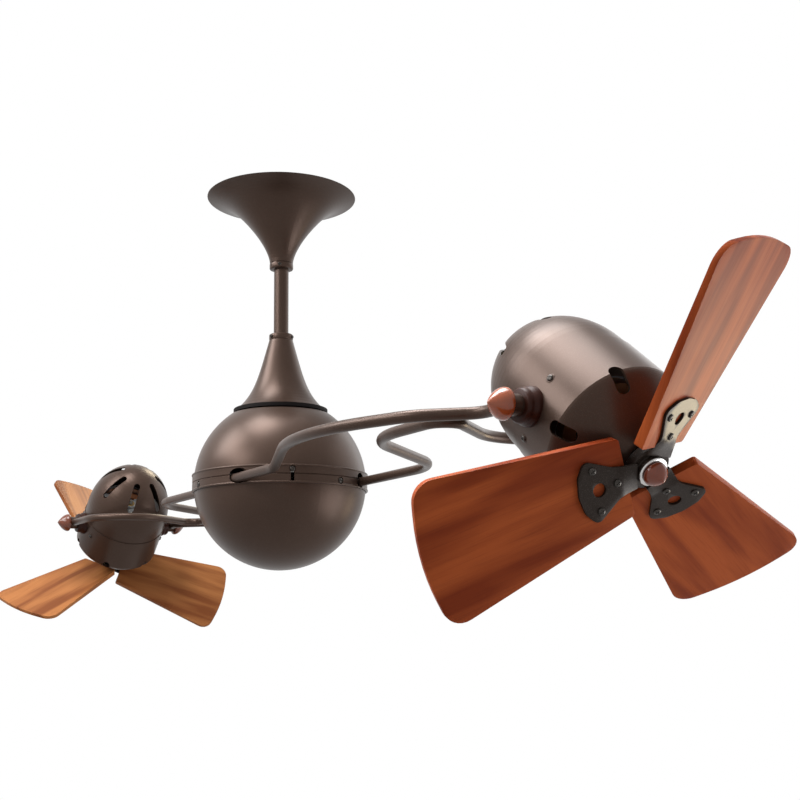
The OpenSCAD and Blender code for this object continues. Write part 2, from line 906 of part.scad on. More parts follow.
// The cup's outside: straight to the shoulder, then a curved nose.
nose_power = 1.4;
function nose_radius(t) = cup_r + (nose_r - cup_r) * pow(t, nose_power);
nose_profile = [for (i = [0 : profile_steps])
    let (t = i / profile_steps)
    [nose_radius(t), cup_shoulder + (cup_nose - cup_shoulder) * t]];
nose_inside = [for (i = [0 : profile_steps - 2])
    let (t = i / profile_steps)
    [nose_radius(t) - cup_wall, cup_shoulder - cup_wall + (cup_nose - cup_shoulder) * t]];
boss_r = bush_r + 3;
front_bush_z = cup_nose - bush_l - 1;
web_z = cup_shoulder - 26;
web_t = 3;
vent_z = 44.8;
vent_slope = 38;
vent_turn = 27.5;
case_screw_angles = [64, 116, 244, 296];
case_screw_z = 2.5;
module case_screw_set() {
    for (a = case_screw_angles)
        rotate([0, 0, a])
            translate([0, 0, case_screw_z])
                rotate([0, 90, 0]) {
                    translate([0, 0, cup_in_r - 8])
                        cylinder(h = 8 + cup_wall, d = 3);
                    translate([0, 0, cup_r - 0.2])
                        cylinder(h = 1.6, d = 6);
                }
}
module studs() {
    for (side = [-1, 1])
        translate([0, side * (cup_in_r - 3), 0])
            rotate([-90 * side, 0, 0])
                cylinder(h = arm_side + eye_l / 2 + knob_l * 0.6 - cup_in_r + 3, r = stud_r);
}
module cup() {
    color(bronze)
        difference() {
            union() {
                rotate_extrude($fn = 96)
                    polygon(concat([[cup_in_r, -seam_back], [cup_r, -seam_back]], nose_profile,
                        [[shaft_r + 2, cup_nose], [shaft_r + 2, cup_nose - cup_wall]],
                        [for (i = [len(nose_inside) - 1 : -1 : 0]) nose_inside[i]]));
                translate([0, 0, web_z])
                    difference() {
                        cylinder(h = web_t, r = cup_in_r + eps);
                        translate([0, 0, -cut])
                            cylinder(h = web_t + 2 * cut, r = stator_d / 2 - 5);
                    }
                translate([0, 0, front_bush_z])
                    cylinder(h = cup_nose - cup_wall - front_bush_z, r = boss_r);
            }
            translate([0, 0, front_bush_z - cut])
                cylinder(h = bush_l + cut, r = bush_r);
            for (i = [0 : vents - 1])
                rotate([0, 0, vent_turn + i * 360 / vents])
                    translate([cup_r - 4, 0, vent_z])
                        rotate([0, 90 - vent_slope, 0])
                            linear_extrude(24, center = true)
                                stadium(vent_l, vent_w);
            case_screw_set();
            studs();
        }
}

// The dome's outside: a straight stretch behind the seam, then an egg-shaped back.
dome_start = -seam_back - dome_straight;
dome_profile = [for (i = [0 : profile_steps])
    let (a = 90 * i / profile_steps)
    [dome_r * cos(a), dome_start - dome_round * sin(a)]];
dome_inside = [for (i = [0 : profile_steps])
    let (a = 90 * i / profile_steps)
    [(dome_r - dome_wall) * cos(a), dome_start - (dome_round - dome_wall) * sin(a)]];
spigot_l = 6;
slot_angle = 47;
slot_r = dome_r * cos(slot_angle);
slot_z = dome_start - dome_round * sin(slot_angle);
slot_slope = 50;
module dome(turn) {
    color(bronze)
        difference() {
            rotate_extrude($fn = 96)
                polygon(concat([[cup_in_r - dome_wall, -seam_back + spigot_l], [cup_in_r, -seam_back + spigot_l],
                        [cup_in_r, -seam_back], [dome_r, -seam_back]], dome_profile,
                    [for (i = [profile_steps : -1 : 0]) dome_inside[i]],
                    [[dome_r - dome_wall, -seam_back - 2], [cup_in_r - dome_wall, -seam_back]]));
            for (i = [0 : slots - 1])
                rotate([0, 0, turn + i * 360 / slots])
                    translate([slot_r, 0, slot_z])
                        rotate([0, 90 + 90 - slot_slope, 0])
                            linear_extrude(30, center = true)
                                stadium(slot_l, slot_w);
        }
}

stator_front = web_z;
stator_rear = stator_front - stator_l;
winding_in = rotor_d / 2 + 2;
winding_out = stator_d / 2 - 8;
winding_l = 10;
ear_w = 14;
ear_l = 12;
module stator() {
    color([0.35, 0.36, 0.38])
        difference() {
            union() {
                translate([0, 0, stator_rear])
                    cylinder(h = stator_l, d = stator_d);
                intersection() {
                    for (a = case_screw_angles)
                        rotate([0, 0, a])
                            translate([rotor_d / 2 + 10, -ear_w / 2, case_screw_z - ear_l / 2])
                                cube([cup_r, ear_w, ear_l]);
                    cylinder(h = 4 * stator_l, r = cup_in_r, center = true);
                }
            }
            translate([0, 0, stator_rear - cut])
                cylinder(h = stator_l + 2 * cut, r = rotor_d / 2 + air_gap);
            case_screw_set();
        }
}
module windings() {
    color(copper)
        for (z = [stator_front, stator_rear - winding_l])
            translate([0, 0, z])
                difference() {
                    cylinder(h = winding_l, r = winding_out);
                    translate([0, 0, -cut])
                        cylinder(h = winding_l + 2 * cut, r = winding_in);
                }
}
bracket_depth = winding_l + 8;
bracket_arm_t = 4;
bracket_arm_w = 10;
rear_bush_z = stator_rear - bracket_depth - 2;
module rear_bracket() {
    color(steel)
        difference() {
            union() {
                translate([0, 0, stator_rear - bracket_depth])
                    difference() {
                        cylinder(h = bracket_depth, d = stator_d);
                        translate([0, 0, -cut])
                            cylinder(h = bracket_depth + 2 * cut, r = winding_out + 2);
                    }
                for (i = [0 : 2])
                    rotate([0, 0, i * 120])
                        translate([bush_r + 1, -bracket_arm_w / 2, stator_rear - bracket_depth])
                            cube([winding_out + 4 - bush_r - 1, bracket_arm_w, bracket_arm_t]);
                translate([0, 0, rear_bush_z])
                    cylinder(h = bush_l, r = boss_r);
            }
            translate([0, 0, rear_bush_z - cut])
                cylinder(h = bush_l + 2 * cut, r = bush_r);
        }
}
module bushes() {
    color(brass)
        for (z = [front_bush_z, rear_bush_z])
            translate([0, 0, z])
                difference() {
                    cylinder(h = bush_l, r = bush_r);
                    translate([0, 0, -cut])
                        cylinder(h = bush_l + 2 * cut, r = shaft_r + run_gap);
                }
}
spacer_face = arm_side - eye_l / 2;
spacer_tip_d = spacer_d - 5;
module pivot_spacers() {
    color(dark_bronze)
        difference() {
            for (side = [-1, 1])
                rotate([-90 * side, 0, 0])
                    translate([0, 0, cup_r - 6])
                        cylinder(h = spacer_face - cup_r + 6, d1 = spacer_d + 2, d2 = spacer_tip_d);
            translate([0, 0, -seam_back])
                cylinder(h = 4 * seam_back, r = cup_r, $fn = 96);
            translate([0, 0, -4 * seam_back])
                cylinder(h = 3 * seam_back, r = cup_r, $fn = 96);
            studs();
        }
}
module pivot_studs() {
    color(steel)
        studs();
}
// An acorn: full at its base, drawn in to a small tip.
function acorn(t) = t < 0.12 ? 0.92 + 0.08 * t / 0.12 : pow(cos(90 * (t - 0.12) / 0.88), 0.9);
module acorn_knob(length, diameter) {
    rotate_extrude()
        polygon(concat([[0, 0]], [for (i = [0 : profile_steps - 1])
            let (t = i / profile_steps)
            [diameter / 2 * acorn(t), length * t]], [[0, length]]));
}
module pivot_knobs() {
    color(amber)
        difference() {
            for (side = [-1, 1])
                rotate([-90 * side, 0, 0])
                    translate([0, 0, arm_side + eye_l / 2])
                        acorn_knob(knob_l, knob_d);
            studs();
        }
}

// ---- Fan pieces, which turn about the head's own Z ----

hub_back = cup_nose + 2.7;
hub_seat = fan_front + 2.7;
boss_top = hub_seat + 4.5;
shaft_top = boss_top + finial_l / 2;
blade_face = 3;
neck_in = boss_d / 2;
module shaft() {
    color(steel)
        translate([0, 0, rear_bush_z - 2])
            cylinder(h = shaft_top - rear_bush_z + 2, r = shaft_r);
}
module rotor() {
    color([0.55, 0.56, 0.58])
        difference() {
            union() {
                translate([0, 0, stator_rear])
                    cylinder(h = stator_l, d = rotor_d);
                translate([0, 0, stator_rear - 4])
                    cylinder(h = stator_l + 8, d = rotor_d - 6);
            }
            translate([0, 0, stator_rear - 4 - cut])
                cylinder(h = stator_l + 8 + 2 * cut, r = shaft_r);
        }
}

// Places a blade's own frame: X out along the blade, Z square to its face.
module each_blade() {
    for (i = [0 : 2])
        rotate([0, 0, i * 120])
            translate([0, 0, fan_front])
                rotate([pitch, 0, 0])
                    children();
}
iron_screw_places = [[iron_reach - 16, 17.5], [iron_reach - 16, -17.5], [iron_reach - 35, 0]];
window_x = iron_reach - 18.5;
screw_shank_d = 3;
module blade_screw_set() {
    each_blade()
        for (p = iron_screw_places)
            translate([p[0], p[1], 0]) {
                cylinder(h = blade_face + iron_t, d = screw_shank_d);
                translate([0, 0, blade_face + iron_t])
                    cylinder(h = 1.6, d1 = blade_screw_d, d2 = blade_screw_d - 2.5);
            }
}
iron_side = [[neck_in - 3, iron_neck_w / 2, 0.5], [iron_reach - 36, iron_neck_w / 2, 20],
    [iron_reach - 11, iron_w / 2, 6], [iron_reach - 2.5, iron_w * 0.28, 12]];
iron_corners = concat(iron_side, [[iron_reach, 0, 20]],
    [for (i = [3 : -1 : 0]) [iron_side[i][0], -iron_side[i][1], iron_side[i][2]]]);
module iron_plates() {
    each_blade()
        translate([0, 0, blade_face])
            linear_extrude(iron_t)
                difference() {
                    polygon(rounded(iron_corners));
                    translate([window_x, 0])
                        circle(d = iron_window_d);
                }
}
module blade_irons() {
    color(dark_bronze)
        difference() {
            iron_plates();
            translate([0, 0, hub_back])
                cylinder(h = 3 * boss_top, r = neck_in);
            blade_screw_set();
        }
}
module blade_hub() {
    color(dark_bronze)
        difference() {
            union() {
                translate([0, 0, hub_back])
                    cylinder(h = hub_seat - hub_back, d = hub_flange_d);
                translate([0, 0, hub_back])
                    cylinder(h = boss_top - hub_back, r = neck_in);
            }
            translate([0, 0, hub_back - cut])
                cylinder(h = boss_top, r = shaft_r);
            difference() {
                iron_plates();
                translate([0, 0, hub_back])
                    cylinder(h = 3 * boss_top, r = neck_in);
            }
        }
}
blade_corners = [[blade_root_r, blade_root_w / 2, 3], [blade_tip_r, blade_tip_w / 2, tip_corner],
    [blade_tip_r + tip_crown, 0, 200], [blade_tip_r, -blade_tip_w / 2, tip_corner],
    [blade_root_r, -blade_root_w / 2, 3]];
module blades() {
    color(wood)
        difference() {
            each_blade()
                intersection() {
                    translate([0, 0, -blade_root_t])
                        linear_extrude(3 * blade_root_t)
                            polygon(rounded(blade_corners));
                    rotate([90, 0, 0])
                        linear_extrude(blade_tip_w, center = true)
                            polygon([[blade_root_r - cut, blade_face], [blade_tip_r + tip_crown, blade_face],
                                [blade_tip_r + tip_crown, blade_face - blade_tip_t],
                                [blade_root_r - cut, blade_face - blade_root_t]]);
                }
            blade_screw_set();
        }
}
module blade_screws() {
    color(steel)
        blade_screw_set();
}
module finial() {
    color(amber)
        difference() {
            translate([0, 0, boss_top])
                acorn_knob(finial_l, finial_d);
            shaft();
        }
}

ceiling_bracket();
hanger_ball();
cross_pins();
canopy();
rod_collars();
collar_screws();
drop_rod();
coupling();
lower_cover();
shadow_ring();
spindle();
slip_ring_drum();
spindle_nut();
carousel_hub();
hub_bushes();
arm_clamps();
clamp_screws();
near_arms();
far_arms();
arm_eyes();
top_shell();
bottom_shell();
belt_upper();
belt_lower();
belt_screws();
brush_block();
on_right_head() dome(dome_turn_right);  // right_dome
on_right_head() cup();  // right_cup
on_right_head() color(dark_bronze) case_screw_set();  // right_case_screws
on_right_head() stator();  // right_stator
on_right_head() windings();  // right_windings
on_right_head() rear_bracket();  // right_rear_bracket
on_right_head() bushes();  // right_bushes
on_right_head() pivot_studs();  // right_pivot_studs
on_right_head() pivot_spacers();  // right_pivot_spacers
on_right_head() pivot_knobs();  // right_pivot_knobs
on_right_fan() shaft();  // right_shaft
on_right_fan() rotor();  // right_rotor
on_right_fan() blade_hub();  // right_blade_hub
on_right_fan() blade_irons();  // right_blade_irons
on_right_fan() blades();  // right_blades
on_right_fan() blade_screws();  // right_blade_screws
on_right_fan() finial();  // right_finial
on_left_head() dome(dome_turn_left);  // left_dome
on_left_head() cup();  // left_cup
on_left_head() color(dark_bronze) case_screw_set();  // left_case_screws
on_left_head() stator();  // left_stator
on_left_head() windings();  // left_windings
on_left_head() rear_bracket();  // left_rear_bracket
on_left_head() bushes();  // left_bushes
on_left_head() pivot_studs();  // left_pivot_studs
on_left_head() pivot_spacers();  // left_pivot_spacers
on_left_head() pivot_knobs();  // left_pivot_knobs
on_left_fan() shaft();  // left_shaft
on_left_fan() rotor();  // left_rotor
on_left_fan() blade_hub();  // left_blade_hub
on_left_fan() blade_irons();  // left_blade_irons
on_left_fan() blades();  // left_blades
on_left_fan() blade_screws();  // left_blade_screws
on_left_fan() finial();  // left_finial
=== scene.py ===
import json
import math

import bpy
from mathutils import Matrix, Vector


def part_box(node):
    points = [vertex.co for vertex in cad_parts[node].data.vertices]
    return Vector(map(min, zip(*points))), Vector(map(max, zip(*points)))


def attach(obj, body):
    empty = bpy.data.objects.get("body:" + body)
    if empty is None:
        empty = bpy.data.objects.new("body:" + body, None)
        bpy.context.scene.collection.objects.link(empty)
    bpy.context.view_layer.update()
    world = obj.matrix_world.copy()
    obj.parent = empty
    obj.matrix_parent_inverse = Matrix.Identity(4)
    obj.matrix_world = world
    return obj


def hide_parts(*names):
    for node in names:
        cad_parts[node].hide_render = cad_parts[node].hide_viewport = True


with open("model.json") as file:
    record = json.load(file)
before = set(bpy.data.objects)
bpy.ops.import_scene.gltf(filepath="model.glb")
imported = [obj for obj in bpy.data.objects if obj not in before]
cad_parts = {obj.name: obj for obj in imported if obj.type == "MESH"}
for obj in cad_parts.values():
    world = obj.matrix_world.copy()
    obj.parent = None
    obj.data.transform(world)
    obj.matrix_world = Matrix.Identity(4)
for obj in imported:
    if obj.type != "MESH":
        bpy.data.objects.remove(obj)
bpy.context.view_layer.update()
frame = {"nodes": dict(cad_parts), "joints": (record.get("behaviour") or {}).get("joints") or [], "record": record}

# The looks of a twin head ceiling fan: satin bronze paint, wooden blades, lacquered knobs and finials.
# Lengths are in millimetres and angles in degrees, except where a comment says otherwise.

NODES = frame["nodes"]
MM = 0.001


# ---- Shared effects ----

# The kinds of socket that a node group has.
COLOUR = "NodeSocketColor"
NUMBER = "NodeSocketFloat"
DIRECTION = "NodeSocketVector"


def new_group(name, inputs, outputs):
    """A shader node group with its named sockets, and its two end nodes."""
    group = bpy.data.node_groups.new(name, "ShaderNodeTree")
    for end, sockets in (("INPUT", inputs), ("OUTPUT", outputs)):
        for label, kind in sockets.items():
            group.interface.new_socket(name=label, in_out=end, socket_type=kind)
    return group, group.nodes.new("NodeGroupInput"), group.nodes.new("NodeGroupOutput")


def feed(tree, node, inputs):
    """Gives a node's inputs their plain values, or links from the outputs of other nodes."""
    for label, source in inputs.items():
        if isinstance(source, bpy.types.NodeSocket):
            tree.links.new(source, node.inputs[label])
        else:
            node.inputs[label].default_value = source


def add(tree, kind, inputs=None, **settings):
    """A node with its settings, and with what feeds its inputs."""
    node = tree.nodes.new(kind)
    for key, value in settings.items():
        setattr(node, key, value)
    feed(tree, node, inputs or {})
    return node


def blend(tree, share, first, second):
    """A colour that goes from the first to the second by a share."""
    mix = add(tree, "ShaderNodeMix", {"Factor": share, "A": first, "B": second}, data_type="RGBA")
    return mix.outputs["Result"]


def reckon(tree, operation, *values):
    """The result of a sum on plain values or on the outputs of other nodes."""
    return add(tree, "ShaderNodeMath", dict(enumerate(values)), operation=operation).outputs["Value"]


# The paint's noises, in waves to a metre and in layers of finer waves.
SLOW_TONE = {"Scale": 9.0, "Detail": 3.0}
METAL_FLECK = {"Scale": 1400.0, "Detail": 1.0}
ORANGE_PEEL = {"Scale": 420.0, "Detail": 2.0}
FLECK_RISE = {"From Min": 0.56, "From Max": 0.72}       # where in its noise a fleck starts and is full
FLECK_COLOUR = (0.55, 0.47, 0.42, 1)
TONE_ROUGHER = 0.12                                     # roughness that the light tone adds
PEEL_BUMP = {"Strength": 0.06, "Distance": 0.0003}      # its height is in metres


def build_paint_group():
    """A sprayed finish: slow shifts of tone, a fine metallic fleck and a faint orange peel."""
    group, given, out = new_group(
        "sprayed_paint", {"Dark": COLOUR, "Light": COLOUR, "Roughness": NUMBER, "Fleck": NUMBER},
        {"Color": COLOUR, "Roughness": NUMBER, "Normal": DIRECTION})
    place = add(group, "ShaderNodeTexCoord").outputs["Object"]
    slow, fleck, peel = (
        add(group, "ShaderNodeTexNoise", {"Vector": place, **waves}).outputs["Fac"]
        for waves in (SLOW_TONE, METAL_FLECK, ORANGE_PEEL))
    tone = blend(group, slow, given.outputs["Dark"], given.outputs["Light"])
    sparkle = add(group, "ShaderNodeMapRange", {"Value": fleck, **FLECK_RISE})
    strength = reckon(group, "MULTIPLY", sparkle.outputs["Result"], given.outputs["Fleck"])
    bump = add(group, "ShaderNodeBump", {"Height": peel, **PEEL_BUMP})
    feed(group, out, {
        "Color": blend(group, strength, tone, FLECK_COLOUR),
        "Roughness": reckon(group, "MULTIPLY_ADD", slow, TONE_ROUGHER, given.outputs["Roughness"]),
        "Normal": bump.outputs["Normal"]})
    return group


# The wood's noises are stretched along the grain: U and V in metres, turned into waves along and across it.
BAND_STRETCH = (3.0, 26.0, 1.0)
BANDS = {"Scale": 1.5, "Detail": 2.5, "Distortion": 0.25}
BAND_RISE = {"From Min": 0.38, "From Max": 0.60}        # where in its noise a band starts and is full
PORE_STRETCH = (16.0, 520.0, 1.0)
PORES = {"Scale": 1.5, "Detail": 3.0}
PORE_RISE = {"From Min": 0.5, "From Max": 0.72, "To Max": 0.22}     # and how dark a full pore is
WOOD_ROUGHNESS = 0.33
PORE_ROUGHER = 0.25                                     # roughness that the pores add
PORE_BUMP = {"Strength": 0.10, "Distance": 0.0001}      # its height is in metres


def build_grain_group():
    """Straight wood grain along a piece's own U: broad bands and fine pores."""
    group, given, out = new_group(
        "straight_grain", {"Dark": COLOUR, "Mid": COLOUR, "Light": COLOUR},
        {"Color": COLOUR, "Roughness": NUMBER, "Height": NUMBER})
    place = add(group, "ShaderNodeTexCoord").outputs["UV"]

    def streaks(stretch, waves):
        along = add(group, "ShaderNodeMapping", {"Vector": place, "Scale": stretch})
        return add(group, "ShaderNodeTexNoise", {"Vector": along.outputs["Vector"], **waves}).outputs["Fac"]

    bands = streaks(BAND_STRETCH, BANDS)
    pores = streaks(PORE_STRETCH, PORES)
    band_mask = add(group, "ShaderNodeMapRange", {"Value": bands, **BAND_RISE})
    pore_mask = add(group, "ShaderNodeMapRange", {"Value": pores, **PORE_RISE})
    banded = blend(group, band_mask.outputs["Result"], given.outputs["Mid"], given.outputs["Light"])
    feed(group, out, {
        "Color": blend(group, pore_mask.outputs["Result"], banded, given.outputs["Dark"]),
        "Roughness": reckon(group, "MULTIPLY_ADD", pores, PORE_ROUGHER, WOOD_ROUGHNESS),
        "Height": pores})
    return group


PAINT = build_paint_group()
GRAIN = build_grain_group()


# ---- Finishes ----

def new_material(name):
    """A material, its node tree and its Principled shader."""
    material = bpy.data.materials.new(name)
    material.use_nodes = True
    tree = material.node_tree
    return material, tree, tree.nodes["Principled BSDF"]


def painted(name, dark, light, roughness, fleck=0.0, metallic=0.0, coat=0.0, coat_roughness=0.35, shine=0.5):
    """A smooth finish between two tones: paint, lacquer, moulding or metal."""
    material, tree, shader = new_material(name)
    paint = add(tree, "ShaderNodeGroup", {
        "Dark": (*dark, 1), "Light": (*light, 1), "Roughness": roughness, "Fleck": fleck}, node_tree=PAINT)
    feed(tree, shader, {
        "Base Color": paint.outputs["Color"], "Roughness": paint.outputs["Roughness"],
        "Normal": paint.outputs["Normal"], "Metallic": metallic, "Specular IOR Level": shine,
        "Coat Weight": coat, "Coat Roughness": coat_roughness})
    return material


def grained(name, dark, mid, light, shine):
    """Oiled wood with its grain along the piece's own U."""
    material, tree, shader = new_material(name)
    grain = add(tree, "ShaderNodeGroup", {
        "Dark": (*dark, 1), "Mid": (*mid, 1), "Light": (*light, 1)}, node_tree=GRAIN)
    bump = add(tree, "ShaderNodeBump", {"Height": grain.outputs["Height"], **PORE_BUMP})
    feed(tree, shader, {
        "Base Color": grain.outputs["Color"], "Roughness": grain.outputs["Roughness"],
        "Normal": bump.outputs["Normal"], "Specular IOR Level": shine})
    return material


# Each finish has its tones, from dark to light, and then its roughness.
LOOKS = {
    "bronze_paint": painted(
        "satin_bronze_paint", (0.040, 0.023, 0.016), (0.066, 0.041, 0.031), 0.29,
        fleck=0.03, metallic=0.42, shine=0.16),
    # painted shade: the disc above the sphere is near black, to stand for the shadowed gap between the bell cover
    # and the sphere
    "black_paint": painted(
        "shadow_gap_black_paint", (0.006, 0.005, 0.005), (0.011, 0.009, 0.009), 0.6, fleck=0.02, shine=0.05),
    "iron_paint": painted(
        "blade_iron_paint", (0.014, 0.009, 0.007), (0.028, 0.019, 0.014), 0.28,
        fleck=0.06, metallic=0.10, shine=0.12),
    "plated_steel": painted("zinc_plate", (0.42, 0.42, 0.42), (0.6, 0.6, 0.6), 0.35, metallic=1.0),
    "bare_steel": painted("turned_steel", (0.5, 0.5, 0.5), (0.66, 0.66, 0.67), 0.25, metallic=1.0),
    "black_steel": painted(
        "blackened_screw", (0.02, 0.017, 0.015), (0.05, 0.042, 0.036), 0.25, fleck=0.1, metallic=0.7),
    "black_plastic": painted("black_moulding", (0.012, 0.012, 0.012), (0.03, 0.03, 0.03), 0.5),
    "cream_plastic": painted("cream_moulding", (0.62, 0.57, 0.47), (0.74, 0.7, 0.6), 0.5),
    "cast_metal": painted(
        "sand_cast_metal", (0.3, 0.29, 0.27), (0.42, 0.41, 0.39), 0.5, fleck=0.05, metallic=0.9),
    "bush_bronze": painted("sintered_bush", (0.4, 0.27, 0.12), (0.55, 0.38, 0.18), 0.4, metallic=1.0),
    "core_steel": painted("core_lamination", (0.1, 0.1, 0.11), (0.2, 0.2, 0.21), 0.5, metallic=0.8),
    "copper_wire": painted(
        "enamelled_wire", (0.35, 0.12, 0.05), (0.5, 0.2, 0.08), 0.35, metallic=0.8, coat=0.3),
    "rotor_metal": painted("rotor_cage", (0.3, 0.3, 0.31), (0.45, 0.45, 0.46), 0.4, metallic=1.0),
    "dark_wood": painted(
        "dark_turned_wood", (0.018, 0.005, 0.003), (0.040, 0.011, 0.006), 0.34, shine=0.12),
    "polished_steel": painted("polished_steel", (0.42, 0.41, 0.40), (0.55, 0.54, 0.53), 0.16, metallic=1.0),
    "glossy_wood": painted(
        "amber_lacquer", (0.11, 0.018, 0.007), (0.21, 0.042, 0.014), 0.2,
        coat=0.5, coat_roughness=0.05, shine=0.2),
    "right_knob_wood": painted(
        "amber_knob", (0.20, 0.040, 0.012), (0.32, 0.080, 0.025), 0.2,
        coat=0.6, coat_roughness=0.05, shine=0.2),
    # painted shade: the left fan's knobs are a darker copy of the amber knobs, for the shade they lie in
    "left_knob_wood": painted(
        "shaded_brown_knob", (0.10, 0.026, 0.012), (0.17, 0.046, 0.020), 0.2,
        coat=0.5, coat_roughness=0.06, shine=0.2),
    "right_blade_wood": grained(
        "red_blade_wood", (0.065, 0.011, 0.006), (0.18, 0.028, 0.007), (0.35, 0.074, 0.019), shine=0.06),
    "left_blade_wood": grained(
        "amber_blade_wood", (0.070, 0.018, 0.007), (0.185, 0.056, 0.017), (0.36, 0.140, 0.046), shine=0.1),
}
LOOKS["blade_wood"] = LOOKS["right_blade_wood"]


def dress_solids():
    """Gives each solid of the CAD model the finish of its material slot."""
    for row in frame["record"]["subparts"]:
        look = LOOKS[row["material_slot"]]
        slots = NODES[row["node"]].data.materials
        if not slots:
            slots.append(look)
        for index in range(len(slots)):
            slots[index] = look


dress_solids()


# ---- Places, worked out from the joints of the frame ----

JOINTS = {row["name"]: row for row in frame["joints"]}
SIDES = ("right", "left")
BLADE_TURN = {"right": 178.9, "left": 296.8}    # of each fan's first blade, about the fan's own axis


def head_place(side):
    """A head's own frame: Y along its pivots, Z along its shaft towards the fan."""
    tilt = JOINTS[side + "_tilt"]
    across = Vector(tilt["axis"]).normalized()
    ahead = Vector(JOINTS[side + "_spin"]["axis"]).normalized()
    turned_frame = Matrix((across.cross(ahead), across, ahead)).transposed().to_4x4()
    return Matrix.Translation(Vector(tilt["pos_m"])) @ turned_frame


def turn(degrees, axis="Z"):
    """A turn about an axis through the origin."""
    return Matrix.Rotation(math.radians(degrees), 4, axis)


def shift(x, y, z):
    """A move, given in millimetres."""
    return Matrix.Translation((x * MM, y * MM, z * MM))


# ---- Modelling by hand ----

MERGE_WITHIN = 0.01     # points closer than this become one
LEAST_HALF = 0.05       # half width of a plate's pointed end, so that its last faces stay open
SLACK = 0.001           # by which a point may lie under an outline's middle line
SHARP_FROM = 40         # edges that turn more than this are rounded
TURNED_SMOOTH = 35      # edges that turn less than this are shaded smooth on turned pieces
PLATE_SMOOTH = 30       # and on plates


def clear_bench():
    """Leaves nothing selected."""
    bpy.ops.object.select_all(action="DESELECT")


def close_piece(piece):
    """Ends edit mode with doubles merged, faces outward and all but the sharp edges smooth."""
    bpy.ops.mesh.select_all(action="SELECT")
    bpy.ops.mesh.remove_doubles(threshold=MERGE_WITHIN * MM)
    bpy.ops.mesh.normals_make_consistent(inside=False)
    bpy.ops.object.mode_set(mode="OBJECT")
    bpy.ops.object.shade_smooth_by_angle(angle=math.radians(TURNED_SMOOTH))
    return piece


def turned(name, profile, sides=48, ring=False):
    """A piece turned on Z, drawn ring by ring through (radius, height) points in millimetres. A ring
    comes back to its first point, and a solid is drawn in to its tip."""
    clear_bench()
    radius, height = profile[0]
    bpy.ops.mesh.primitive_circle_add(vertices=sides, radius=radius * MM, location=(0, 0, height * MM))
    piece = bpy.context.active_object
    piece.name = name
    bpy.ops.object.transform_apply(location=True, rotation=True, scale=True)
    bpy.ops.object.mode_set(mode="EDIT")
    bpy.ops.mesh.select_all(action="SELECT")
    if not ring:
        bpy.ops.mesh.edge_face_add()
    route = profile + profile[:1] if ring else profile
    for (r0, z0), (r1, z1) in zip(route, route[1:]):
        bpy.ops.mesh.extrude_region_move(TRANSFORM_OT_translate={"value": (0, 0, (z1 - z0) * MM)})
        bpy.ops.transform.resize(value=(r1 / r0, r1 / r0, 1), center_override=(0, 0, z1 * MM))
    if not ring:
        bpy.ops.mesh.merge(type="CENTER")
    return close_piece(piece)


def corner_arc(before, corner, after, radius, steps=7):
    """Points round a corner of an outline, rounded by a given radius."""
    corner = Vector(corner)
    back = (Vector(before) - corner).normalized()
    on = (Vector(after) - corner).normalized()
    half = back.angle(on) / 2
    centre = corner + (back + on).normalized() * radius / math.sin(half)
    first = corner + back * radius / math.tan(half) - centre
    last = corner + on * radius / math.tan(half) - centre
    sweep = math.pi - 2 * half
    points = []
    for i in range(steps + 1):
        share = i / steps
        arm = first * math.sin((1 - share) * sweep) + last * math.sin(share * sweep)
        points.append(tuple(centre + arm.normalized() * radius))
    return points


def rounded_side(corners):
    """The upper half of an outline that is the same on both sides of X. A corner is (x, y, radius), and
    the last one may lie on X itself."""
    places = [(x, y) for x, y, radius in corners]
    first_x, first_y = places[0]
    last_x, last_y = places[-2] if places[-1][1] == 0 else places[-1]
    whole = [(first_x, -first_y)] + places + [(last_x, -last_y)]
    points = []
    for before, (x, y, radius), after in zip(whole, corners, whole[2:]):
        arc = corner_arc(before, (x, y), after, radius)
        points += [(px, max(py, LEAST_HALF)) for px, py in arc if py >= -SLACK]
    return points


def plate(name, side_points, rows=6):
    """A flat plate whose columns follow an outline, given for its upper half in millimetres."""
    clear_bench()
    columns = len(side_points) - 1
    bpy.ops.mesh.primitive_grid_add(x_subdivisions=columns, y_subdivisions=rows, size=1, calc_uvs=False)
    piece = bpy.context.active_object
    piece.name = name
    for vertex in piece.data.vertices:
        x, half_width = side_points[round((vertex.co.x + 0.5) * columns)]
        vertex.co = (x * MM, 2 * vertex.co.y * half_width * MM, 0)
    return piece


def thicken(piece, depth):
    """Draws a flat plate down to a solid of a given thickness in millimetres."""
    bpy.ops.object.mode_set(mode="EDIT")
    bpy.ops.mesh.select_all(action="SELECT")
    bpy.ops.mesh.extrude_region_move(TRANSFORM_OT_translate={"value": (0, 0, -depth * MM)})
    bpy.ops.mesh.select_all(action="SELECT")
    bpy.ops.mesh.normals_make_consistent(inside=False)
    bpy.ops.object.mode_set(mode="OBJECT")


def apply_modifiers(piece):
    """Makes a piece's modifiers part of its mesh."""
    for modifier in list(piece.modifiers):
        bpy.ops.object.modifier_apply(modifier=modifier.name)


def soften_edges(piece, width, segments=3):
    """Rounds the sharp edges of a solid by a given width in millimetres."""
    bevel = piece.modifiers.new("edges", "BEVEL")
    bevel.width = width * MM
    bevel.segments = segments
    bevel.limit_method = "ANGLE"
    bevel.angle_limit = math.radians(SHARP_FROM)
    apply_modifiers(piece)


def cut_away(piece, cutter, place):
    """Takes one solid, moved to its place, from another, and then takes it off the bench."""
    cutter.data.transform(place)
    clear_bench()
    piece.select_set(True)
    bpy.context.view_layer.objects.active = piece
    hole = piece.modifiers.new("hole", "BOOLEAN")
    hole.object = cutter
    hole.solver = "EXACT"
    apply_modifiers(piece)
    put_away(cutter)


def bored(piece, radius, place, depth=20, sides=32):
    """Drills a hole of a given radius and depth about a place."""
    clear_bench()
    bpy.ops.mesh.primitive_cylinder_add(vertices=sides, radius=radius * MM, depth=depth * MM)
    cut_away(piece, bpy.context.active_object, place)


